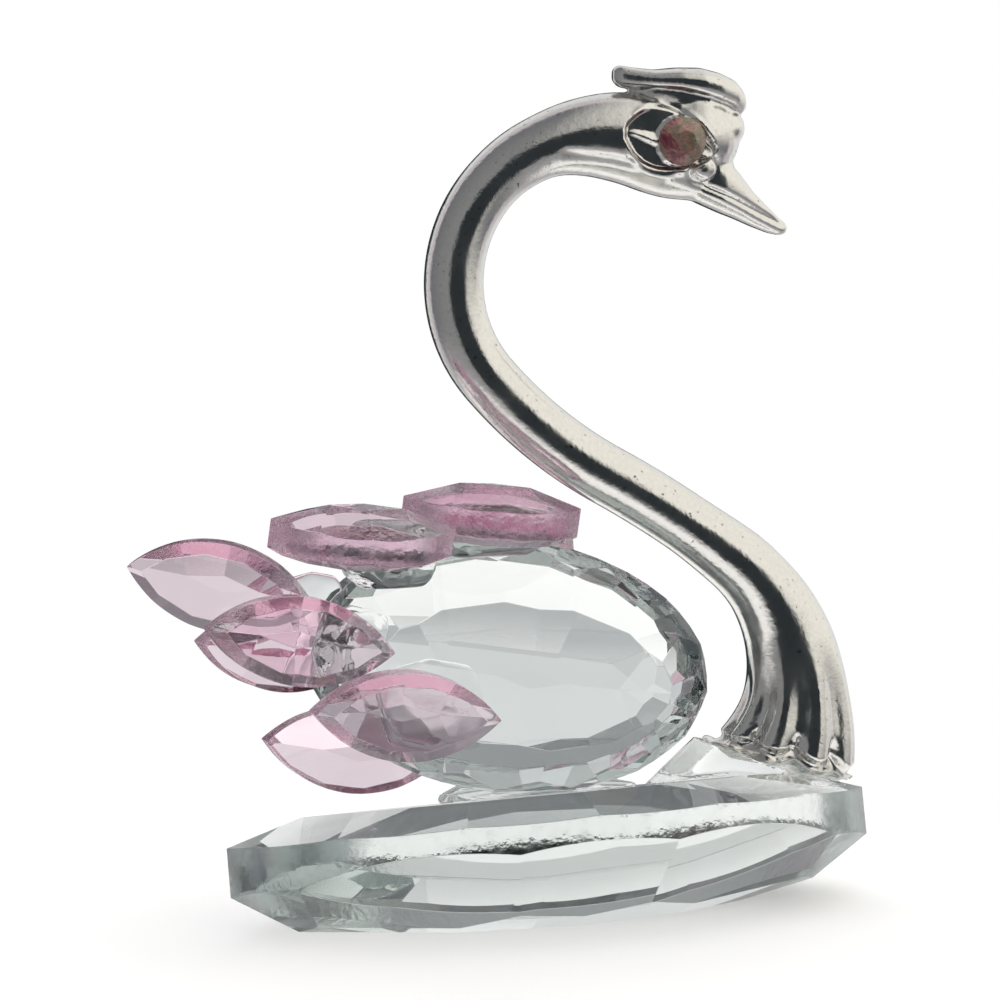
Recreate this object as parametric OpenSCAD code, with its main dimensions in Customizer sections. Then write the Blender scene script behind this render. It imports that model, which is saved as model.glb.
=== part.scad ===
// Crystal swan figurine: faceted base and body stones, eight marquise feather
// stones and a plated neck casting, glued together with clear adhesive.
// The swan faces +X and stands on the flat facet under the base stone. The
// origin is on that facet, straight below the middle of the base stone.

/* [Base stone] */
// Length of the base stone from tip to tip
base_length = 58.4; // [56:0.2:62]
// Width of the base stone
base_width = 28; // [26:0.5:32]
// Thickness of the upright edge band of the base stone
base_girdle = 3.7; // [3:0.1:4.2]
// Height of the upper facets above the edge band
base_crown = 2.2; // [2:0.1:2.6]
// Depth of the lower facets below the edge band, at the middle of the stone
base_pavilion = 4.4; // [3.8:0.1:5]
// How far the front tip is lifted, as an angle of the whole stone
base_pitch = 1.8; // [0:0.1:2.5]
// How far the near long side is lifted, as an angle of the whole stone
base_roll = 13; // [10:0.5:14]
// How far the middle lower facets cut up into the edge band
base_scallop = 1.8; // [0:0.1:2]

/* [Body stone] */
// Length of the oval body stone
body_length = 36; // [34:0.5:38]
// Height of the oval body stone across its short axis
body_height = 22; // [21:0.5:22.5]
// Thickness of the body stone from table to table
body_thickness = 14; // [12:0.5:15]
// Thickness of the edge band of the body stone
body_girdle = 2.2; // [1.5:0.1:3]
// How far the body stone leans down at the front
body_pitch = 9.5; // [7:0.5:11]

/* [Feather stones] */
// Length of a feather stone from tip to tip
petal_length = 15.8; // [15:0.1:16.4]
// Width of a feather stone
petal_width = 7.4; // [6.8:0.1:7.8]
// Thickness of the rough edge band of a feather stone
petal_girdle = 2.3; // [1.8:0.1:2.6]
// Height of the bevelled rim round the flat face of a feather stone
petal_rim = 0.8; // [0.6:0.1:1]
// Height of the facets that rise to a ridge on its other face
petal_peak = 1.6; // [1.2:0.1:1.8]

/* [Neck casting] */
// Thickness of the neck at its slimmest
neck_thickness = 5.1; // [4.6:0.1:5.6]
// Width of the foot of the casting along the base stone
foot_width = 14; // [13:0.2:15]
// Diameter of the eye stones
eye_diameter = 4.2; // [3.8:0.1:4.4]

/* [Hidden] */

// Levels of the base stone, measured at its middle
girdle_low = base_pavilion;
girdle_mid = girdle_low + base_girdle / 2;
table_level = girdle_low + base_girdle + base_crown;

// Extra height of the base blank, so that the rolled stone still reaches the floor
roll_room = 5;

// Middle of the body stone
body_centre = [-4.3, 0, 22];

// Slopes of the facets against the flat of their stone, in degrees
base_upper_slope = 24;
base_lower_slope = 42;
base_keel_slope = 20;
body_rim_slope = 52;
body_star_slope = 41;
body_table_slope = 12;
petal_rim_slope = 38;
petal_peak_slope = 27;

// Where the inner rings of facets start: distance in from the outline, and height
base_keel_start = [3.6, base_girdle / 2 + 3.2];
body_star_start = [2.4, body_girdle / 2 + 2.5];
body_table_start = [5.4, body_thickness / 2 - 1.15];

// Feather stones: centre, then turns about X, Y and Z. The flat face of a stone
// looks outwards on the sides of the swan, and down on its back
tail_place = [[-29.9, -1.8, 30.3], [90, 13, -18]];
back_place = [[-18.9, -6.6, 34.6], [194, 5, 0]];
front_near_place = [[-6.8, -3.2, 35.5], [186, 6, 0]];
front_far_place = [[-4.4, 6.2, 32.3], [154, 4, 0]];
side_near_place = [[-24.5, -7.8, 26.4], [86, 9.5, 0]];
side_far_place = [[-23, 6.5, 23.3], [270, 8.5, 14]];
low_near_place = [[-16.2, -10.5, 20.2], [90, 4.5, 0]];
low_far_place = [[-17, 5.8, 14.1], [266, 9.5, 0]];
petal_places = [tail_place, back_place, front_near_place, front_far_place,
    side_near_place, side_far_place, low_near_place, low_far_place];

// Neck line in the XZ plane: start point, first heading, then
// [radius, turn] for each arc, left turns positive
neck_start = [21.4, 12.1];
neck_heading = 69;
neck_arcs = [[16.2, 73.4], [92, 8.6], [40, -20], [12.4, -123], [16, -50]];
arc_steps = 12;

// Thickness of the casting in the XZ plane and across it, along the neck line
neck_profile = [[0, foot_width], [3, 12], [6, 10], [9, 8.8], [12.4, 7.7],
    [17.4, 6.3], [25.4, neck_thickness + 0.3], [67.4, neck_thickness - 0.1],
    [72.4, neck_thickness + 0.4], [78.4, 7.6], [82.4, 8.4], [85.4, 7.8],
    [88, 5.6], [89, 4.2]];
depth_profile = [[0, 9.2], [6, 7.4], [12.4, 6], [25.4, 5.2], [68, 5], [74, 6],
    [80, 7.2], [85.4, 6.6], [88, 5], [89, 4]];

// Sides of the neck casting's cross-section
ring_sides = 24;

// Head: skull, beak, forehead, eyes, and the crest with the narrower ridge that
// carries it, as [point, radius, widening]
skull = [12.5, 67.6];
beak_root = [15.4, 62.6];
beak_tip = [20.4, 60];
forehead_knob = [15.1, 68.3];
eye_centre = [10.2, 67.2];
eye_depth = 2.9;
socket_gap = 0.05;
crest_lumps = [[[5.7, 72.4], 0.6, 1.2], [[9.5, 72.2], 1.2, 2.2], [[13.2, 71.8], 1.6, 2.2],
    [[15.2, 70.7], 1.5, 2]];
crest_ridge = [[[7.9, 71.2], 1, 1.2], [[12.4, 70.8], 1.5, 1.5], [[15, 69.8], 1.3, 1.6]];

// Foot: slope of its underside, plate outline as [along, radius], feather ends
foot_middle = [20.3, 13.2];
foot_slope = 19;
plate_thickness = 1.1;
plate_spots = [[-5.2, 2.2], [-1, 4.4], [3, 3.6], [6.8, 1]];
mound_spots = [[9.5, 3], [14, 4.8], [20, 4.8], [25, 2.2]];
mound_level = 7.8;
lobe_spots = [[17.4, 3, 15.8], [20.2, 3.8, 15], [23, 3.4, 14], [25.4, 2, 13.2]];

// A cutter larger than any stone
reach = 80;

// A marquise outline: two equal arcs that meet in a point at each end
module marquise_outline(length, width) {
    radius = (length * length + width * width) / (4 * width);
    intersection() {
        translate([0, width / 2 - radius]) circle(r = radius, $fn = 180);
        translate([0, radius - width / 2]) circle(r = radius, $fn = 180);
    }
}

// Removes what is above a plane through a point, sloping down towards an azimuth
module facet_cutter(point, azimuth, slope) {
    translate(point) rotate([0, slope, azimuth])
        translate([-reach / 2, -reach / 2, 0]) cube(reach);
}

// One ring of facets round a marquise, from a fraction of each side arc
module marquise_tier(length, width, level, inset, slope, fractions) {
    radius = (length * length + width * width) / (4 * width);
    half_angle = asin(length / 2 / radius);
    for (side = [90, -90], f = fractions) {
        turn = f * half_angle;
        out = [sin(turn), cos(turn)];
        x = radius * out[0] - inset * out[0];
        y = radius * out[1] - (radius - width / 2) - inset * out[1];
        azimuth = side - turn * sign(side);
        facet_cutter([x, sign(side) * y, level], azimuth, slope);
    }
}

// Feather stone lying flat face up, middle of its edge band at the origin
module feather_stone() {
    half = petal_girdle / 2;
    difference() {
        translate([0, 0, -half - petal_peak])
            linear_extrude(height = petal_girdle + petal_peak + petal_rim)
                marquise_outline(petal_length, petal_width);
        marquise_tier(petal_length, petal_width, half, 0, petal_rim_slope,
            [-0.8, -0.4, 0, 0.4, 0.8]);
        rotate([180, 0, 0])
            marquise_tier(petal_length, petal_width, half, 0, petal_peak_slope,
                [-0.75, -0.25, 0.25, 0.75]);
    }
}

module petal(place) {
    color("pink") translate(place[0]) rotate([0, 0, place[1][2]])
        rotate([0, place[1][1], 0]) rotate([place[1][0], 0, 0]) feather_stone();
}

module base_crystal() {
    color("azure") intersection() {
        translate([0, 0, girdle_mid]) rotate([-base_roll, -base_pitch, 0]) difference() {
            linear_extrude(height = base_girdle + 2 * base_pavilion + roll_room, center = true)
                marquise_outline(base_length, base_width);
            facet_cutter([0, 0, table_level - girdle_mid], 0, 0);
            marquise_tier(base_length, base_width, base_girdle / 2, 0, base_upper_slope,
                [-0.84, -0.5, -0.17, 0.17, 0.5, 0.84]);
            rotate([180, 0, 0]) {
                marquise_tier(base_length, base_width, base_girdle / 2, 0, base_lower_slope,
                    [-0.84, 0.84]);
                marquise_tier(base_length, base_width, base_girdle / 2 - base_scallop, 0,
                    base_lower_slope, [-0.42, 0, 0.42]);
                marquise_tier(base_length, base_width, base_keel_start[1], base_keel_start[0],
                    base_keel_slope, [-0.6, -0.2, 0.2, 0.6]);
            }
        }
        translate([-reach / 2, -reach / 2, 0]) cube(reach);
    }
}

// Radius of the body outline at an angle, as an ellipse
function oval(angle, grow = 0) = [(body_length / 2 + grow) * cos(angle),
    (body_height / 2 + grow) * sin(angle)];

// Facets tangent to the oval: ring of planes with the same slope
module oval_tier(level, inset, slope, count, phase) {
    for (i = [0 : count - 1]) {
        angle = (i + phase) * 360 / count;
        point = oval(angle, -inset);
        azimuth = atan2(sin(angle) / body_height, cos(angle) / body_length);
        facet_cutter([point[0], point[1], level], azimuth, slope);
    }
}

module body_stone() {
    translate(body_centre) rotate([0, body_pitch, 0]) rotate([90, 0, 0])
        difference() {
            linear_extrude(height = body_thickness, center = true)
                polygon([for (i = [0 : 47]) oval(i * 7.5)]);
            for (flip = [0, 180]) rotate([flip, 0, 0]) {
                oval_tier(body_girdle / 2, 0, body_rim_slope, 16, 0.5);
                oval_tier(body_star_start[1], body_star_start[0], body_star_slope, 16, 0);
                oval_tier(body_table_start[1], body_table_start[0], body_table_slope, 8,
                    0.5 + flip / 360);
            }
        }
}

// Position on a turn, from the start point and heading of its arc
function on_arc(start, heading, radius, turn) =
    let (side = sign(turn), centre = start + side * radius * [-sin(heading), cos(heading)])
    centre + side * radius * [sin(heading + turn), -cos(heading + turn)];

// Rings along the neck line, each as [point, heading, distance from the foot]
function neck_rings(i = 0, start = neck_start, heading = neck_heading, distance = 0) =
    i == len(neck_arcs) ? [[start, heading, distance]] :
    let (radius = neck_arcs[i][0], turn = neck_arcs[i][1],
        length = radius * abs(turn) * PI / 180)
    concat(
        [for (k = [0 : arc_steps - 1]) let (f = k / arc_steps)
            [on_arc(start, heading, radius, f * turn), heading + f * turn,
                distance + f * length]],
        neck_rings(i + 1, on_arc(start, heading, radius, turn), heading + turn,
            distance + length));

// Points of one ring: an ellipse across the neck line
function ring_points(ring) = [for (k = [0 : ring_sides - 1])
    let (angle = k * 360 / ring_sides,
        across = lookup(ring[2], neck_profile) / 2 * cos(angle),
        depth = lookup(ring[2], depth_profile) / 2 * sin(angle))
    [ring[0][0] - across * sin(ring[1]), depth, ring[0][1] + across * cos(ring[1])]];

module neck_tube() {
    rings = neck_rings();
    n = ring_sides;
    last = len(rings) - 1;
    polyhedron(
        points = [for (ring = rings) each ring_points(ring)],
        faces = concat(
            [[for (k = [n - 1 : -1 : 0]) k]],
            [for (j = [0 : last - 1], k = [0 : n - 1])
                let (a = j * n + k, b = j * n + (k + 1) % n)
                each [[a, b, b + n], [a, b + n, a + n]]],
            [[for (k = [0 : n - 1]) last * n + k]]),
        convexity = 6);
}

// A rounded lump in the swan's middle plane, widened across it
module lump(place, radius, widen = 1) {
    translate([place[0], 0, place[1]]) scale([1, widen, 1]) sphere(r = radius, $fn = 20);
}

// Lumps joined one to the next
module lump_chain(lumps) {
    for (i = [0 : len(lumps) - 2]) hull() {
        lump(lumps[i][0], lumps[i][1], lumps[i][2]);
        lump(lumps[i + 1][0], lumps[i + 1][1], lumps[i + 1][2]);
    }
}

// Feathered cap swept back to a point, on a narrower ridge along the head
module crest() {
    lump_chain(crest_lumps);
    lump_chain(crest_ridge);
}

module beak() {
    hull() {
        lump(beak_root, 2, 1.3);
        lump(beak_tip, 0.55, 1.6);
    }
}

// Frame of the foot: its XY plane is the top of the foot plate
module foot_frame() {
    translate([foot_middle[0], 0, foot_middle[1]]) rotate([0, foot_slope, 0]) children();
}

// Thin plate under the foot, rounded like the tip of the base stone
module foot_plate(height = plate_thickness) {
    foot_frame() hull() {
        for (spot = plate_spots) translate([spot[0], 0, -plate_thickness])
            cylinder(r = spot[1], h = height, $fn = 40);
    }
}

// Scalloped feather ends round the foot, on both sides
module foot_lobes() {
    for (side = [-1, 1], i = [0 : len(lobe_spots) - 1]) hull() {
        translate([lobe_spots[i][0] - 0.4, side * (lobe_spots[i][1] - 1.2), lobe_spots[i][2] + 6])
            sphere(r = 1, $fn = 12);
        translate([lobe_spots[i][0], side * lobe_spots[i][1], lobe_spots[i][2]])
            sphere(r = 1.3, $fn = 14);
    }
}

// Seat for an eye stone, on the side given by -1 or 1
module eye_place(side) {
    translate([eye_centre[0], side * eye_depth, eye_centre[1]])
        rotate([side * -90, 0, 0]) children();
}

module casting_metal() {
    difference() {
        union() {
            neck_tube();
            crest();
            beak();
            lump(forehead_knob, 1.7, 1.5);
            lump(skull, 3.9, 0.86);
            foot_plate();
            foot_lobes();
        }
        for (side = [-1, 1]) eye_place(side)
            cylinder(d = eye_diameter + 2 * socket_gap, h = 4, $fn = 48);
        foot_frame() translate([-reach / 2, -reach / 2, -plate_thickness - reach]) cube(reach);
    }
}

module neck_casting() { color("silver") casting_metal(); }

// Flat-backed round stone with a bevelled rim
module eye_stone(side) {
    r = eye_diameter / 2;
    color("rosybrown") eye_place(side) rotate_extrude($fn = 64)
        polygon([[0, 0], [r, 0], [r, 0.5], [r * 0.55, 1.3], [0, 1.3]]);
}
module eye_stone_near() { eye_stone(-1); }
module eye_stone_far() { eye_stone(1); }

module all_petals() {
    for (place = petal_places) petal(place);
}

// What the clear adhesive has to leave room for
module glued_pieces() {
    body_stone();
    all_petals();
    base_crystal();
}

// A flattened puddle of adhesive: lumps in a ring joined to a middle lump
module puddle(centre, long, wide, thick, turns) {
    translate(centre) rotate([0, 0, turns[2]]) rotate([0, turns[1], 0]) rotate([turns[0], 0, 0])
        for (i = [0 : 7]) hull() {
            sphere(r = thick, $fn = 16);
            for (k = [i, i + 1]) translate([long * cos(k * 45), wide * sin(k * 45), 0])
                sphere(r = thick * (0.7 + 0.12 * (k % 2)), $fn = 12);
        }
}

module adhesive(centre, long, wide, thick, turns) {
    color("white", 0.5) difference() {
        puddle(centre, long, wide, thick, turns);
        glued_pieces();
    }
}

module body_adhesive() { adhesive([-1.6, 0, 10.5], 8.6, 4.4, 0.8, [0, 0, 0]); }
module tail_adhesive() { adhesive([-22, -1.6, 28.8], 2, 1.6, 1.2, [90, 0, 0]); }
module back_adhesive() { adhesive([-15.8, -3.4, 31.7], 3, 1.8, 1.7, [20, 0, 0]); }
module front_near_adhesive() { adhesive([-6.8, -2.4, 33], 4, 1.8, 1.1, [0, 0, 0]); }
module front_far_adhesive() { adhesive([-4.6, 3.6, 31], 3, 1.8, 1.2, [-40, 0, 0]); }
module side_near_adhesive() { adhesive([-19.4, -4.6, 25.2], 2.8, 2.4, 1.6, [90, 0, 0]); }
module side_far_adhesive() { adhesive([-19.2, 3.2, 23.6], 2.8, 2.4, 1.6, [90, 0, 0]); }
module low_near_adhesive() { adhesive([-13.2, -7, 20.6], 3.8, 2.6, 1.6, [90, 0, 0]); }
module low_far_adhesive() { adhesive([-13.6, 4.4, 16], 3, 2.4, 1.6, [90, 0, 0]); }

// A mound from the foot plate down to the upper facets of the base stone
module foot_adhesive() {
    color("white", 0.5) difference() {
        hull() {
            foot_plate(height = 0.2);
            for (spot = mound_spots) translate([spot[0], 0, mound_level])
                cylinder(r = spot[1], h = 1, $fn = 40);
        }
        base_crystal();
        casting_metal();
    }
}

module body_crystal() { color("azure") body_stone(); }
module petal_tail() { petal(tail_place); }
module petal_back() { petal(back_place); }
module petal_front_near() { petal(front_near_place); }
module petal_front_far() { petal(front_far_place); }
module petal_side_near() { petal(side_near_place); }
module petal_side_far() { petal(side_far_place); }
module petal_low_near() { petal(low_near_place); }
module petal_low_far() { petal(low_far_place); }

base_crystal();
body_crystal();
petal_tail();
petal_back();
petal_front_near();
petal_front_far();
petal_side_near();
petal_side_far();
petal_low_near();
petal_low_far();
neck_casting();
eye_stone_near();
eye_stone_far();
body_adhesive();
foot_adhesive();
tail_adhesive();
back_adhesive();
front_near_adhesive();
front_far_adhesive();
side_near_adhesive();
side_far_adhesive();
low_near_adhesive();
low_far_adhesive();
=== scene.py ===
import math

import bmesh
import bpy
import numpy as np
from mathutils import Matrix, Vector


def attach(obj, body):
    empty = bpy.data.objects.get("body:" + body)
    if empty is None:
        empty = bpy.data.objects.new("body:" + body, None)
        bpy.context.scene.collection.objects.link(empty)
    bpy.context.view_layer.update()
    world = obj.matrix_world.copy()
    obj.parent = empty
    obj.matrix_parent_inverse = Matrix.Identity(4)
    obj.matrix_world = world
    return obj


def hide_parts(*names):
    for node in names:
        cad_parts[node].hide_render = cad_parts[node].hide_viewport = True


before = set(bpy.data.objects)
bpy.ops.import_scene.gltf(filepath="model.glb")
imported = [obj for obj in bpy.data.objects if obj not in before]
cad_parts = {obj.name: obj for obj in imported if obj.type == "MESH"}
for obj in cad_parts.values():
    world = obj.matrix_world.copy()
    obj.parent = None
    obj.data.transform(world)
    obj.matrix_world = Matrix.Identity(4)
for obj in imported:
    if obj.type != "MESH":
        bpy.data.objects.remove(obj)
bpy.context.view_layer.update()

MM = 0.001

# Millimetres, except the angle under which two faces count as one flat facet, and
# EDGE_BAND, the cosine under which a facet belongs to a stone's edge.
FACET_WELD = 0.004
FLAT_ANGLE = math.radians(0.6)
CLEAR_BEVEL = 0.06
PINK_BEVEL = 0.05
EDGE_BAND = 0.25
VOXEL = 0.16
GLUE_INSET = 0.03

STONES = ("base_crystal", "body_crystal")
PETALS = (
    "petal_tail", "petal_back", "petal_front_near", "petal_front_far",
    "petal_side_near", "petal_side_far", "petal_low_near", "petal_low_far",
)
ADHESIVES = (
    "body_adhesive", "foot_adhesive", "tail_adhesive", "back_adhesive",
    "front_near_adhesive", "front_far_adhesive", "side_near_adhesive",
    "side_far_adhesive", "low_near_adhesive", "low_far_adhesive",
)


# ---------------------------------------------------------------- materials

def new_material(name, **sockets):
    """A Principled material whose constant values sit on the shader's own sockets."""
    material = bpy.data.materials.new(name)
    material.use_nodes = True
    principled = material.node_tree.nodes["Principled BSDF"]
    for socket, value in sockets.items():
        principled.inputs[socket.replace("_", " ")].default_value = value
    return material, material.node_tree, principled


def noise(tree, scale, detail=3.0, roughness=0.5, distortion=0.0):
    """Noise in the frame's own coordinates, so that it stays on the piece."""
    coordinates = tree.nodes.new("ShaderNodeTexCoord")
    texture = tree.nodes.new("ShaderNodeTexNoise")
    texture.inputs["Scale"].default_value = scale
    texture.inputs["Detail"].default_value = detail
    texture.inputs["Roughness"].default_value = roughness
    texture.inputs["Distortion"].default_value = distortion
    tree.links.new(coordinates.outputs["Object"], texture.inputs["Vector"])
    return texture.outputs["Fac"]


def spread(tree, value, low, high, from_low=0.3, from_high=0.7):
    """The value stretched from one range to another, and clamped."""
    node = tree.nodes.new("ShaderNodeMapRange")
    node.inputs["From Min"].default_value = from_low
    node.inputs["From Max"].default_value = from_high
    node.inputs["To Min"].default_value = low
    node.inputs["To Max"].default_value = high
    tree.links.new(value, node.inputs["Value"])
    return node.outputs["Result"]


def ramp(tree, value, stops):
    """Colours along a value: stops are (position, (red, green, blue))."""
    node = tree.nodes.new("ShaderNodeValToRGB")
    elements = node.color_ramp.elements
    while len(elements) < len(stops):
        elements.new(0.5)
    for element, (position, colour) in zip(elements, stops):
        element.position = position
        element.color = (*colour, 1)
    tree.links.new(value, node.inputs["Fac"])
    return node.outputs["Color"]


def bump(tree, principled, value, strength, distance):
    """Raises the surface by a value, over a distance in metres."""
    node = tree.nodes.new("ShaderNodeBump")
    node.inputs["Strength"].default_value = strength
    node.inputs["Distance"].default_value = distance
    tree.links.new(value, node.inputs["Height"])
    tree.links.new(node.outputs["Normal"], principled.inputs["Normal"])


def glass(name, tints, depth, ior, rough, wave, wave_scale, grain=900):
    """Cut glass: faint tint drift, uneven polish, slight waviness, and colour by depth."""
    absorb, density = depth
    material, tree, principled = new_material(
        name, Transmission_Weight=1.0, IOR=ior, Metallic=0.0)
    tree.links.new(ramp(tree, noise(tree, 160, 2), ((0.3, tints[0]), (0.7, tints[1]))),
                   principled.inputs["Base Color"])
    tree.links.new(spread(tree, noise(tree, grain, 4), *rough), principled.inputs["Roughness"])
    bump(tree, principled, noise(tree, wave_scale, 3), wave, 0.0001)
    volume = tree.nodes.new("ShaderNodeVolumeAbsorption")
    volume.inputs["Color"].default_value = (*absorb, 1)
    volume.inputs["Density"].default_value = density
    output = tree.nodes["Material Output"]
    tree.links.new(volume.outputs["Volume"], output.inputs["Volume"])
    return material


def plated_metal():
    """Bright plating over a rough casting: orange peel, dull patches, dark specks."""
    material, tree, principled = new_material("plated_metal", Metallic=1.0)
    specks = noise(tree, 2600, 2)
    tree.links.new(ramp(tree, specks, ((0.24, (0.14, 0.14, 0.14)), (0.31, (0.76, 0.745, 0.72)),
                                       (0.75, (0.82, 0.805, 0.775)))),
                   principled.inputs["Base Color"])
    tree.links.new(spread(tree, noise(tree, 260, 6, 0.6), 0.05, 0.20),
                   principled.inputs["Roughness"])
    bump(tree, principled, noise(tree, 950, 5, 0.65), 0.2, 0.0002)
    return material


def rhinestone():
    """Old foiled rhinestone: olive and tan blotches with crimson patches."""
    material, tree, principled = new_material(
        "eye_rhinestone", Metallic=0.15, Coat_Weight=0.6, Coat_Roughness=0.12)
    blotches = noise(tree, 430, 7, 0.72, 0.8)
    tree.links.new(ramp(tree, blotches, (
        (0.36, (0.12, 0.015, 0.03)), (0.43, (0.28, 0.06, 0.08)), (0.48, (0.36, 0.22, 0.18)),
        (0.55, (0.19, 0.15, 0.095)), (0.62, (0.26, 0.21, 0.15)), (0.70, (0.55, 0.48, 0.42)))),
        principled.inputs["Base Color"])
    tree.links.new(spread(tree, noise(tree, 2200, 4), 0.12, 0.45),
                   principled.inputs["Roughness"])
    bump(tree, principled, blotches, 0.5, 0.0002)
    return material


CLEAR = ((0.985, 1.0, 0.995), (1.0, 1.0, 1.0))
PINK = ((1.0, 0.83, 0.905), (1.0, 0.89, 0.945))
CLEAR_DEPTH = ((0.62, 0.69, 0.67), 22.0)
PINK_DEPTH = ((0.90, 0.42, 0.66), 13.0)
CUT_IOR = 1.56
# Lower than real glue, because a hair of air is left between it and the stones
GLUE_IOR = 1.16
clear_facets = glass("clear_facets", CLEAR, CLEAR_DEPTH, CUT_IOR, (0.0, 0.012), 0.03, 220)
clear_edge = glass("clear_edge", CLEAR, CLEAR_DEPTH, CUT_IOR, (0.03, 0.22), 0.35, 1500)
pink_facets = glass("pink_facets", PINK, PINK_DEPTH, CUT_IOR, (0.0, 0.02), 0.05, 420)
pink_edge = glass("pink_edge", ((0.80, 0.50, 0.65), (0.98, 0.82, 0.90)), PINK_DEPTH, CUT_IOR,
                  (0.04, 0.40), 0.8, 1900)
cured_glue = glass("cured_glue", CLEAR, CLEAR_DEPTH, GLUE_IOR, (0.0, 0.08), 0.3, 700)
metal = plated_metal()
eye_material = rhinestone()


# ---------------------------------------------------------------- pieces

def add_piece(name, mesh, node, materials):
    """Puts a finished mesh, in metres, in the place of a CAD node."""
    for material in materials:
        mesh.materials.append(material)
    piece = bpy.data.objects.new(name, mesh)
    bpy.context.scene.collection.objects.link(piece)
    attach(piece, "root")
    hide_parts(node)
    return piece


def cad_mesh(node):
    """A bmesh of the CAD node with its flat faces whole again."""
    made = bmesh.new()
    made.from_mesh(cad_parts[node].data)
    bmesh.ops.remove_doubles(made, verts=made.verts, dist=FACET_WELD * MM)
    bmesh.ops.dissolve_limit(made, angle_limit=FLAT_ANGLE, verts=made.verts, edges=made.edges)
    return made


def thin_axis(made):
    """Direction across the flat of a stone: the smallest spread of its corners."""
    corners = np.array([v.co for v in made.verts])
    _, axes = np.linalg.eigh(np.cov((corners - corners.mean(0)).T))
    return Vector(axes[:, 0])


def cut_stone(node, facet, edge, width):
    """The CAD stone with softened facet edges and a ground edge band.

    Glass lets most of the light through, so it casts no lamp shadow.
    """
    made = cad_mesh(node)
    axis = thin_axis(made)
    bmesh.ops.bevel(made, geom=made.edges[:], offset=width * MM, offset_type="OFFSET",
                    segments=2, profile=0.5, affect="EDGES", clamp_overlap=True)
    made.normal_update()
    for face in made.faces:
        face.smooth = False
        face.material_index = 1 if abs(face.normal.dot(axis)) < EDGE_BAND else 0
    mesh = bpy.data.meshes.new(node + "_cut")
    made.to_mesh(mesh)
    made.free()
    piece = add_piece(node + "_cut", mesh, node, (facet, edge))
    piece.visible_shadow = False
    return piece


def remeshed(name, mesh, voxel, smoothing):
    """One smooth skin round everything in the mesh, at the given voxel size."""
    source = bpy.data.objects.new(name, mesh)
    bpy.context.scene.collection.objects.link(source)
    remesh = source.modifiers.new("skin", "REMESH")
    remesh.mode = "VOXEL"
    remesh.voxel_size = voxel
    smooth = source.modifiers.new("smooth", "SMOOTH")
    smooth.factor = 0.5
    smooth.iterations = smoothing
    graph = bpy.context.evaluated_depsgraph_get()
    made = bpy.data.meshes.new_from_object(source.evaluated_get(graph))
    made.name = name
    bpy.data.objects.remove(source)
    return made


def glue_piece(node):
    """The CAD adhesive as a rounded drop, drawn in a hair from the stones."""
    source = cad_mesh(node)
    mesh = bpy.data.meshes.new(node + "_raw")
    source.to_mesh(mesh)
    source.free()
    made = remeshed(node + "_drop", mesh, VOXEL * MM, 6)
    drop = bmesh.new()
    drop.from_mesh(made)
    drop.normal_update()
    for vertex in drop.verts:
        vertex.co -= vertex.normal * GLUE_INSET * MM
    for face in drop.faces:
        face.smooth = True
    drop.to_mesh(made)
    drop.free()
    piece = add_piece(node + "_drop", made, node, (cured_glue,))
    piece.visible_shadow = False
    return piece


# ---------------------------------------------------------------- neck casting

# The neck's centre line in the XZ plane: start, heading in degrees, then arcs of
# (radius, turn in degrees). Widths and depths are (distance along the line, size).
NECK_START = (21.4, 12.1)
NECK_HEADING = 69
NECK_ARCS = ((16.2, 73.4), (92, 8.6), (40, -20), (12.4, -123), (16, -50))
NECK_WIDTHS = (
    (0, 14), (3, 12), (6, 10), (9, 8.8), (12.4, 7.7), (17.4, 6.3), (25.4, 5.4), (67.4, 5.0),
    (72.4, 5.5), (78.4, 7.6), (82.4, 8.4), (85.4, 7.8), (88, 5.6), (89, 4.2),
)
NECK_DEPTHS = (
    (0, 9.2), (6, 7.4), (12.4, 6), (25.4, 5.2), (68, 5), (74, 6), (80, 7.2), (85.4, 6.6),
    (88, 5), (89, 4),
)
FOOT_MIDDLE = (20.3, 13.2)
FOOT_SLOPE = math.radians(19)

# The head's features in the XZ plane. EYE_SEAT is the stone's distance from the middle.
EYE = (10.2, 67.2)
EYE_RADIUS = 2.1
EYE_SEAT = 2.9
SOCKET = ((5.1, 68.25), (13.3, 66.3))
SOCKET_TALL = 2.8
CHEEK = (12.2, 64.9)
MOUTH = ((12.6, 63.3), (15.4, 62.2), (18.2, 60.9), (20.2, 60.1))
CREASE = ((12.6, 63.3), (8.5, 64.7), (4.0, 65.7), (0.0, 66.2))

FOOT_HEIGHT = 27
FOOT_REACH = 16
FEATHER_ENDS = 9
FLUTE_DEPTH = 0.54
FLUTE_FADE = (4.5, 11.5)
PIT_DEPTH = 0.6
STEP_DEPTH = 0.55


def neck_line(step=0.4):
    """Points and headings along the neck, and the distance of each from the foot."""
    point, heading, distance = np.array(NECK_START), math.radians(NECK_HEADING), 0.0
    rows = []
    for radius, degrees in NECK_ARCS:
        turn = math.radians(degrees)
        side = math.copysign(1, turn)
        centre = point + side * radius * np.array([-math.sin(heading), math.cos(heading)])
        count = max(4, int(radius * abs(turn) / step))
        for k in range(count):
            h = heading + turn * k / count
            place = centre + side * radius * np.array([math.sin(h), -math.cos(h)])
            rows.append((place[0], place[1], h, distance + radius * abs(turn) * k / count))
        heading += turn
        point = centre + side * radius * np.array([math.sin(heading), -math.cos(heading)])
        distance += radius * abs(turn)
    rows.append((point[0], point[1], heading, distance))
    return np.array(rows)


def eased(table, at, width=1.2):
    """A table of (distance, size) read without kinks, as a running mean."""
    xs, ys = np.array(table, float).T
    offsets = np.linspace(-width, width, 9)
    return np.mean([np.interp(at + o, xs, ys) for o in offsets], axis=0)


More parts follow.
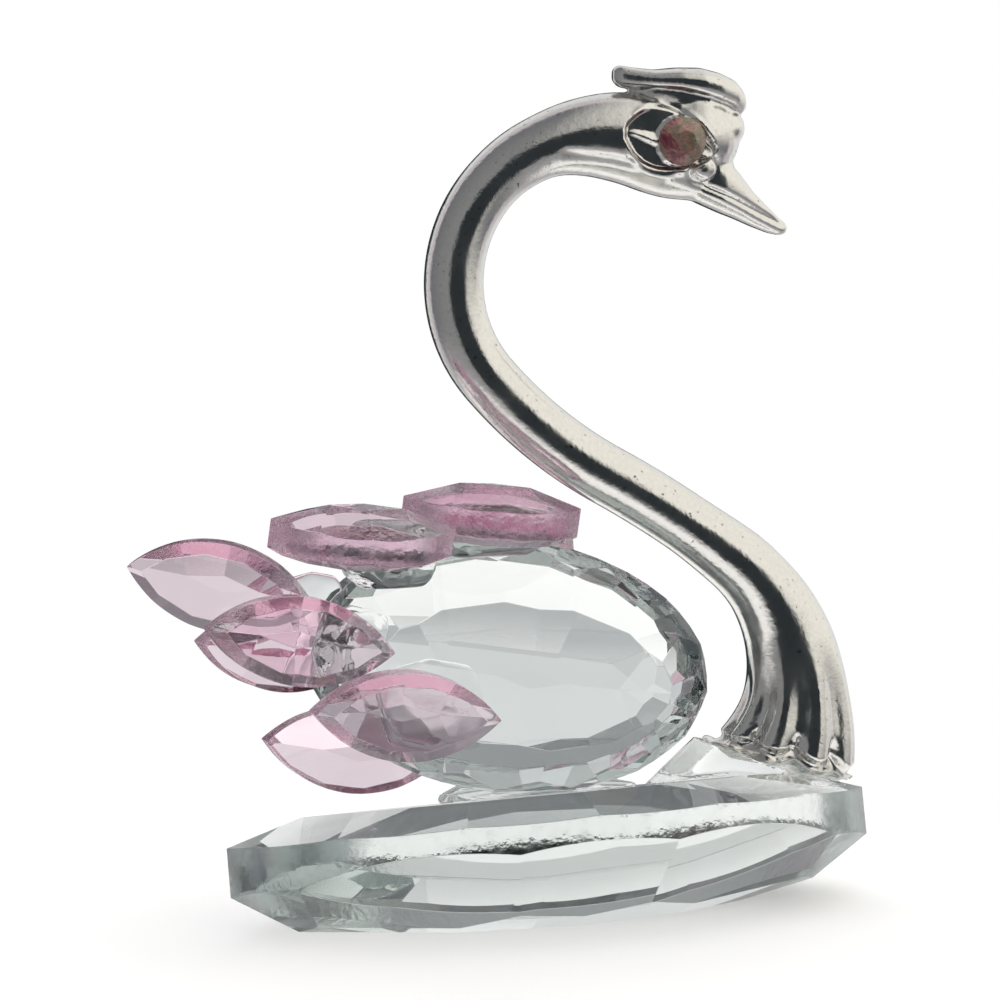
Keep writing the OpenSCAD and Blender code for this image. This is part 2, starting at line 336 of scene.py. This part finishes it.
def add_rings(made, rings):
    """Skins a list of closed rings of points and caps both ends."""
    rows = [[made.verts.new(p) for p in ring] for ring in rings]
    count = len(rows[0])
    for low, high in zip(rows, rows[1:]):
        for k in range(count):
            made.faces.new((low[k], low[(k + 1) % count], high[(k + 1) % count], high[k]))
    made.faces.new(rows[0][::-1])
    made.faces.new(rows[-1])


def add_neck(made, line):
    """Oval rings square to the neck's centre line."""
    widths, depths = eased(NECK_WIDTHS, line[:, 3]) / 2, eased(NECK_DEPTHS, line[:, 3]) / 2
    angles = np.linspace(0, 2 * math.pi, 48, endpoint=False)
    add_rings(made, [
        [(x - w * math.cos(a) * math.sin(h), d * math.sin(a), z + w * math.cos(a) * math.cos(h))
         for a in angles]
        for (x, z, h, _), w, d in zip(line, widths, depths)])


def add_profile(made, stations):
    """A form across X: stations are (x, bottom z, top z, half width across Y)."""
    xs, lows, highs, halves = np.array(stations, float).T
    at = np.linspace(xs[0], xs[-1], 60)
    angles = np.linspace(0, 2 * math.pi, 32, endpoint=False)
    rings = []
    for x in at:
        low, high = np.interp(x, xs, lows), np.interp(x, xs, highs)
        half = np.interp(x, xs, halves)
        middle, tall = (low + high) / 2, (high - low) / 2
        rings.append([(x, half * math.copysign(abs(math.cos(a)) ** 0.8, math.cos(a)),
                       middle + tall * math.copysign(abs(math.sin(a)) ** 0.8, math.sin(a)))
                      for a in angles])
    add_rings(made, rings)


def add_ball(made, centre, radii):
    """An ellipsoid, later fused into the casting's skin."""
    ball = bmesh.ops.create_uvsphere(made, u_segments=24, v_segments=16, radius=1)
    for vertex in ball["verts"]:
        vertex.co = Vector(c + v * r for c, v, r in zip(centre, vertex.co, radii))


# Stations of the head's lofted forms: x, bottom z, top z, half width across Y.
CREST = (
    (4.9, 72.3, 73.3, 0.4), (5.4, 71.8, 73.7, 0.9), (6.5, 71.6, 73.5, 1.3),
    (8.5, 71.5, 73.3, 2.0), (10.5, 71.2, 73.5, 2.6), (12.5, 70.7, 73.5, 2.9),
    (14.2, 70.2, 73.1, 2.8), (15.6, 69.8, 72.5, 2.4), (16.5, 69.5, 71.6, 1.6),
    (16.9, 69.9, 70.8, 0.7),
)
CREST_RIDGE = (
    (7.0, 70.2, 72.0, 0.8), (8.2, 69.4, 72.4, 1.5), (10.5, 69.0, 72.4, 2.1),
    (13.0, 68.6, 71.9, 2.3), (15.0, 68.2, 71.0, 1.9), (16.1, 68.3, 70.3, 1.0),
)
BEAK = (
    (12.5, 61.9, 67.0, 2.4), (14.6, 61.0, 66.2, 2.4), (16.2, 60.4, 64.6, 2.0),
    (17.6, 59.8, 62.9, 1.6), (19.2, 59.2, 61.4, 1.25), (20.2, 59.0, 60.5, 0.95),
    (20.8, 59.1, 60.1, 0.6), (21.0, 59.4, 59.8, 0.25),
)
# The foot plate: distance along it from FOOT_MIDDLE, and radius there.
PLATE = ((-5.2, 2.2), (-1, 4.4), (3, 3.6), (6.8, 1))
PLATE_HALF_THICK = 0.55


def add_foot_plate(made):
    """The thin lumpy flange between the feather ends and the base stone."""
    for (a, ra), (b, rb) in zip(PLATE, PLATE[1:]):
        for k in range(7):
            along, radius = a + (b - a) * k / 6, ra + (rb - ra) * k / 6
            x = FOOT_MIDDLE[0] + along * math.cos(FOOT_SLOPE)
            z = FOOT_MIDDLE[1] - along * math.sin(FOOT_SLOPE) - PLATE_HALF_THICK
            lumpy = radius + 0.15 * math.sin(5 * along)
            add_ball(made, (x, 0, z), (radius * 0.9, lumpy, PLATE_HALF_THICK))


def smoothstep(low, high, value):
    """Rises softly from 0 at low to 1 at high."""
    t = np.clip((value - low) / (high - low), 0, 1)
    return t * t * (3 - 2 * t)


def line_distance(points, path):
    """Distance in the XZ plane from each point to a path of straight pieces."""
    best = np.full(len(points), np.inf)
    flat = points[:, (0, 2)]
    for a, b in zip(np.array(path[:-1], float), np.array(path[1:], float)):
        along = b - a
        t = np.clip(((flat - a) @ along) / (along @ along), 0, 1)
        best = np.minimum(best, np.linalg.norm(flat - a - t[:, None] * along, axis=1))
    return best


def carve_head(points, normals):
    """Eye sockets, mouth line and the crease under the head, on both sides."""
    # Only the flanks are carved, not the top of the head or its underside
    sideways = smoothstep(0.15, 0.5, np.abs(normals[:, 1]))
    sign = np.sign(points[:, 1])
    start, end = np.array(SOCKET[0]), np.array(SOCKET[1])
    along = end - start
    length = np.linalg.norm(along)
    along = along / length
    flat = points[:, (0, 2)] - start
    t = np.clip(flat @ along / length, 0.001, 0.999)
    across = flat @ np.array([-along[1], along[0]])
    tall = SOCKET_TALL * np.sin(math.pi * t ** 0.8) ** 0.75 + 0.05
    # 0 on the long axis of the socket and 1 at its rim
    inside = np.abs(across) / tall
    inside = np.where((flat @ along < 0) | (flat @ along > length), 9, inside)
    surface = np.abs(points[:, 1])
    # A raised wedge on the socket's floor that widens towards the beak
    open_end = 1.5 * np.clip((t - 0.07) / 0.4, 0, 1)
    wedge = 1 - smoothstep(0.5, 0.9, np.abs(across + 0.15) / (0.05 + 0.55 * open_end))
    floor_level = EYE_SEAT - 0.35 + wedge * (0.25 - 0.55 * (across + 0.15))
    share = (1 - smoothstep(0.82, 0.99, inside)) * sideways
    lid = 0.16 * np.exp(-((inside - 1.12) / 0.12) ** 2) * sideways
    sunk = np.where(surface > floor_level - 0.5, floor_level, surface)
    points[:, 1] = sign * (surface + (sunk - surface) * share + lid)
    # A flat seat under the eye stone
    near = np.linalg.norm(points[:, (0, 2)] - np.array(EYE), axis=1)
    seat = (near < EYE_RADIUS + 0.05) & (np.abs(points[:, 1]) > EYE_SEAT - 0.6)
    points[seat, 1] = sign[seat] * (EYE_SEAT - 0.04)
    # A ring pressed in round the cheek ball
    cheek = np.linalg.norm(points[:, (0, 2)] - np.array(CHEEK), axis=1)
    rim = 0.3 * np.exp(-((cheek - 1.35) / 0.22) ** 2) * (inside > 1)
    points -= normals * (rim * sideways)[:, None]
    mouth = line_distance(points, MOUTH)
    crease = line_distance(points, CREASE)
    groove = 0.34 * np.exp(-(mouth / 0.26) ** 2) + 0.14 * np.exp(-(crease / 0.4) ** 2)
    points -= normals * (groove * sideways)[:, None]


def carve_foot(points, normals, line):
    """Flutes down the foot that end in low feathers, with pits between and a step below."""
    low = np.where(points[:, 2] < FOOT_HEIGHT)[0]
    foot = line[line[:, 3] < FOOT_REACH]
    gap = points[low][:, None, (0, 2)] - foot[None, :, :2]
    nearest = np.argmin((gap ** 2).sum(2), axis=1)
    heading = foot[nearest, 2]
    off = points[low][:, (0, 2)] - foot[nearest, :2]
    across = off[:, 1] * np.cos(heading) - off[:, 0] * np.sin(heading)
    along = off[:, 0] * np.cos(heading) + off[:, 1] * np.sin(heading)
    distance = foot[nearest, 3] + along
    width = eased(NECK_WIDTHS, foot[nearest, 3]) / 2
    depth = eased(NECK_DEPTHS, foot[nearest, 3]) / 2
    around = np.arctan2(points[low, 1] / depth, across / width)
    ridge = np.abs(np.sin(FEATHER_ENDS * around / 2))
    end = 1.0 + 0.9 * (1 - ridge)
    pit = PIT_DEPTH * np.exp(-(ridge / 0.4) ** 2)
    pit = pit * np.exp(-((distance - end - 0.4) / 0.7) ** 2)
    channel = FLUTE_DEPTH * (1 - ridge ** 2) * (1 - smoothstep(*FLUTE_FADE, distance))
    step = STEP_DEPTH * (1 - smoothstep(end - 0.25, end + 0.25, distance))
    step = step * smoothstep(-0.3, 0.3, distance)
    points[low] -= normals[low] * (pit + channel + step)[:, None]


def relax(mesh, times):
    """Evens out the carved edges by moving each point towards its neighbours."""
    made = bmesh.new()
    made.from_mesh(mesh)
    for _ in range(times):
        bmesh.ops.smooth_vert(made, verts=made.verts, factor=0.5,
                              use_axis_x=True, use_axis_y=True, use_axis_z=True)
    made.to_mesh(mesh)
    made.free()


def neck_casting():
    """Neck, head, crest, beak and foot fused into one skin, then carved."""
    line = neck_line()
    made = bmesh.new()
    add_neck(made, line)
    add_profile(made, CREST)
    add_profile(made, CREST_RIDGE)
    add_profile(made, BEAK)
    add_ball(made, (15.1, 0, 68.3), (1.7, 2.5, 1.7))
    add_ball(made, (12.5, 0, 67.6), (3.9, 3.35, 3.9))
    for side in (-1, 1):
        add_ball(made, (CHEEK[0], side * 2.75, CHEEK[1]), (1.3, 1.0, 1.2))
    add_foot_plate(made)
    bmesh.ops.recalc_face_normals(made, faces=made.faces)
    raw = bpy.data.meshes.new("neck_raw")
    made.to_mesh(raw)
    made.free()
    mesh = remeshed("neck_casting_plated", raw, VOXEL, 8)
    count = len(mesh.vertices)
    points, normals = np.zeros(count * 3), np.zeros(count * 3)
    mesh.vertices.foreach_get("co", points)
    mesh.vertex_normals.foreach_get("vector", normals)
    points, normals = points.reshape(-1, 3), normals.reshape(-1, 3)
    carve_head(points, normals)
    carve_foot(points, normals, line)
    mesh.vertices.foreach_set("co", (points * MM).ravel())
    relax(mesh, 2)
    mesh.polygons.foreach_set("use_smooth", [True] * len(mesh.polygons))
    return add_piece("neck_casting_plated", mesh, "neck_casting", (metal,))


def eye_stone(node, side):
    """A rose-cut flat-backed stone: rim, a ring of facets and a small flat top."""
    rings = (
        (0.0, EYE_RADIUS, 16, 0), (0.45, EYE_RADIUS, 16, 0), (0.9, 1.62, 8, 0.5),
        (1.3, 0.95, 8, 0),
    )
    made = bmesh.new()
    for height, radius, count, phase in rings:
        for k in range(count):
            a = 2 * math.pi * (k + phase) / count
            made.verts.new(Vector((EYE[0] + radius * math.cos(a), side * (EYE_SEAT + height),
                                   EYE[1] + radius * math.sin(a))) * MM)
    bmesh.ops.convex_hull(made, input=made.verts)
    bmesh.ops.dissolve_limit(made, angle_limit=math.radians(0.5), verts=made.verts,
                             edges=made.edges)
    bmesh.ops.bevel(made, geom=made.edges[:], offset=0.03 * MM, offset_type="OFFSET",
                    segments=1, profile=0.5, affect="EDGES", clamp_overlap=True)
    mesh = bpy.data.meshes.new(node + "_faceted")
    made.to_mesh(mesh)
    made.free()
    return add_piece(node + "_faceted", mesh, node, (eye_material,))


for stone in STONES:
    cut_stone(stone, clear_facets, clear_edge, CLEAR_BEVEL)
for stone in PETALS:
    cut_stone(stone, pink_facets, pink_edge, PINK_BEVEL)
for drop in ADHESIVES:
    glue_piece(drop)
neck_casting()
eye_stone("eye_stone_near", -1)
eye_stone("eye_stone_far", 1)


# ---------------------------------------------------------------- camera, floor and light

AZIMUTH, ELEVATION = math.radians(-16), math.radians(7)
TARGET = Vector((-5.1, 0, 36.5)) * MM
CAMERA_DISTANCE = 260 * MM
BACK = Vector((math.sin(AZIMUTH) * math.cos(ELEVATION), -math.cos(AZIMUTH) * math.cos(ELEVATION),
               math.sin(ELEVATION)))

camera_data = bpy.data.cameras.new("camera")
camera_data.lens = 108.6
camera_data.sensor_width = 36
camera_data.clip_start, camera_data.clip_end = 0.005, 50
camera = bpy.data.objects.new("camera", camera_data)
bpy.context.scene.collection.objects.link(camera)
camera.rotation_mode = "QUATERNION"
camera.rotation_quaternion = (-BACK).to_track_quat("-Z", "Y")
camera.location = TARGET + BACK * CAMERA_DISTANCE
bpy.context.scene.camera = camera

# The floor and the lamps are in metres.
FLOOR_RADIUS = 0.065
FLOOR_MIDDLE = (-0.004, 0.0, -0.00005)


def floor():
    """Pale paper under the swan that fades out at its rim into the white room."""
    made = bmesh.new()
    bmesh.ops.create_circle(made, cap_ends=True, segments=96, radius=FLOOR_RADIUS)
    mesh = bpy.data.meshes.new("floor")
    made.to_mesh(mesh)
    made.free()
    material, tree, principled = new_material("floor_paper", Roughness=0.7)
    principled.inputs["Specular IOR Level"].default_value = 0.2
    tree.links.new(ramp(tree, noise(tree, 40, 4), ((0.3, (0.93, 0.93, 0.93)),
                                                   (0.7, (0.95, 0.95, 0.95)))),
                   principled.inputs["Base Color"])
    coordinates = tree.nodes.new("ShaderNodeTexCoord")
    radius = tree.nodes.new("ShaderNodeVectorMath")
    radius.operation = "LENGTH"
    tree.links.new(coordinates.outputs["Object"], radius.inputs[0])
    tree.links.new(spread(tree, radius.outputs["Value"], 1, 0, 0.6 * FLOOR_RADIUS,
                          0.98 * FLOOR_RADIUS), principled.inputs["Alpha"])
    mesh.materials.append(material)
    paper = bpy.data.objects.new("floor", mesh)
    bpy.context.scene.collection.objects.link(paper)
    paper.location = FLOOR_MIDDLE


def area_light(name, place, aim, size, power, colour=(1, 1, 1)):
    """A soft lamp that doesn't show in reflections or through the glass."""
    data = bpy.data.lights.new(name, "AREA")
    data.shape = "RECTANGLE"
    data.size, data.size_y = size
    data.energy = power
    data.color = colour
    light = bpy.data.objects.new(name, data)
    bpy.context.scene.collection.objects.link(light)
    light.visible_glossy = False
    light.visible_transmission = False
    light.location = place
    light.rotation_mode = "QUATERNION"
    light.rotation_quaternion = (Vector(aim) - Vector(place)).to_track_quat("-Z", "Y")


def arithmetic(tree, operation, *values):
    """A Math node on sockets or plain numbers."""
    node = tree.nodes.new("ShaderNodeMath")
    node.operation = operation
    for socket, value in zip(node.inputs, values):
        if isinstance(value, (int, float)):
            socket.default_value = value
        else:
            tree.links.new(value, socket)
    return node.outputs["Value"]


def mixed(tree, share, first, second):
    """Two colours mixed by a share from 0 to 1."""
    node = tree.nodes.new("ShaderNodeMix")
    node.data_type = "RGBA"
    tree.links.new(share, node.inputs["Factor"])
    for socket, colour in ((node.inputs["A"], first), (node.inputs["B"], second)):
        if isinstance(colour, tuple):
            socket.default_value = (*colour, 1)
        else:
            tree.links.new(colour, socket)
    return node.outputs["Result"]


def multiplied(tree, first, second):
    """The product of two colours."""
    node = tree.nodes.new("ShaderNodeMix")
    node.data_type = "RGBA"
    node.blend_type = "MULTIPLY"
    node.inputs["Factor"].default_value = 1
    tree.links.new(first, node.inputs["A"])
    tree.links.new(second, node.inputs["B"])
    return node.outputs["Result"]


# Fixed directions of the room, out from the swan.
FRONT = Vector((0.02, -1.0, 0.0)).normalized()
SOFTBOX = Vector((0.88, -0.30, 0.38)).normalized()
BACKDROP = Vector((0.28, 0.96, 0.0)).normalized()

# Colours of the room as the metal mirrors it, from the front to the backdrop.
WALLS = (
    (0.0, (0.26, 0.265, 0.27)), (0.42, (0.20, 0.205, 0.215)), (0.56, (0.17, 0.18, 0.20)),
    (0.61, (0.46, 0.45, 0.60)), (0.64, (0.85, 0.76, 0.60)), (0.67, (0.62, 0.52, 0.58)),
    (0.71, (0.55, 0.57, 0.60)), (0.78, (0.78, 0.80, 0.80)), (1.0, (0.84, 0.85, 0.85)),
)
# Colours of the room as seen through the stones, from its sides to its front and back,
# and how far it darkens from straight down to straight up.
CLEAR_WALLS = (
    (0.0, (0.60, 0.61, 0.62)), (0.26, (0.50, 0.51, 0.53)), (0.34, (0.10, 0.11, 0.12)),
    (0.50, (0.10, 0.105, 0.12)), (0.56, (0.46, 0.46, 0.64)), (0.60, (0.92, 0.78, 0.58)),
    (0.65, (0.62, 0.42, 0.52)), (0.72, (0.44, 0.43, 0.47)), (0.82, (0.70, 0.715, 0.71)),
    (0.93, (0.86, 0.875, 0.87)), (1.0, (0.74, 0.76, 0.755)),
)
CLEAR_HEIGHTS = (
    (0.0, (0.55, 0.55, 0.55)), (0.32, (0.62, 0.62, 0.63)), (0.42, (1.0, 1.0, 1.0)),
    (0.58, (1.0, 1.0, 1.0)), (0.64, (0.40, 0.41, 0.42)), (1.0, (0.25, 0.255, 0.26)),
)
CREAM = (1.0, 0.975, 0.90)
DARK = (0.030, 0.036, 0.040)
TABLE_TOP = (0.42, 0.41, 0.42)


def toward(tree, direction):
    """How far a ray goes towards a fixed direction of the room, from -1 to 1."""
    coordinates = tree.nodes.new("ShaderNodeTexCoord")
    dot = tree.nodes.new("ShaderNodeVectorMath")
    dot.operation = "DOT_PRODUCT"
    dot.inputs[1].default_value = direction
    tree.links.new(coordinates.outputs["Generated"], dot.inputs[0])
    return dot.outputs["Value"]


def studio():
    """The room round the swan: grey, with a soft light on the right.

    The metal mirrors a dark strip low down in front and behind. Through the stones the
    room is pale in front and behind, with a dark band between. The camera itself sees
    plain white.
    """
    world = bpy.data.worlds.new("studio")
    bpy.context.scene.world = world
    world.use_nodes = True
    tree = world.node_tree
    up = toward(tree, (0, 0, 1))
    walls = ramp(tree, spread(tree, toward(tree, BACKDROP), 0, 1, -1, 1), WALLS)
    lit = arithmetic(tree, "MULTIPLY",
                     spread(tree, toward(tree, SOFTBOX), 0, 1, 0.34, 0.80),
                     spread(tree, up, 0, 1, -0.30, 0.15))
    above = mixed(tree, lit, walls, CREAM)
    soft = mixed(tree, spread(tree, up, 1, 0, -0.75, -0.35), above, TABLE_TOP)
    near_far = arithmetic(tree, "ABSOLUTE", toward(tree, FRONT))
    dark = arithmetic(tree, "MULTIPLY",
                      spread(tree, near_far, 0, 1, 0.84, 0.875),
                      spread(tree, up, 1, 0, 0.34, 0.44))
    mirrored = mixed(tree, dark, soft, DARK)
    through = multiplied(
        tree, ramp(tree, arithmetic(tree, "ABSOLUTE", toward(tree, BACKDROP)), CLEAR_WALLS),
        ramp(tree, spread(tree, up, 0, 1, -1, 1), CLEAR_HEIGHTS))
    path = tree.nodes.new("ShaderNodeLightPath")
    room = tree.nodes["Background"]
    tree.links.new(mixed(tree, path.outputs["Is Transmission Ray"], mirrored, through),
                   room.inputs["Color"])
    plain = tree.nodes.new("ShaderNodeBackground")
    plain.inputs["Color"].default_value = (1, 1, 1, 1)
    mix = tree.nodes.new("ShaderNodeMixShader")
    tree.links.new(path.outputs["Is Camera Ray"], mix.inputs["Fac"])
    tree.links.new(room.outputs["Background"], mix.inputs[1])
    tree.links.new(plain.outputs["Background"], mix.inputs[2])
    tree.links.new(mix.outputs["Shader"], tree.nodes["World Output"].inputs["Surface"])


floor()
studio()
area_light("overhead", (0.0, 0.05, 0.7), (0, 0, 0.03), (0.8, 0.8), 4.4)
area_light("side", (0.5, -0.1, 0.35), (0, 0, 0.03), (0.3, 0.4), 0.25, (1.0, 0.97, 0.92))

scene = bpy.context.scene
scene.view_settings.view_transform = "Standard"
scene.cycles.max_bounces = 24
scene.cycles.transmission_bounces = 24
scene.cycles.glossy_bounces = 12
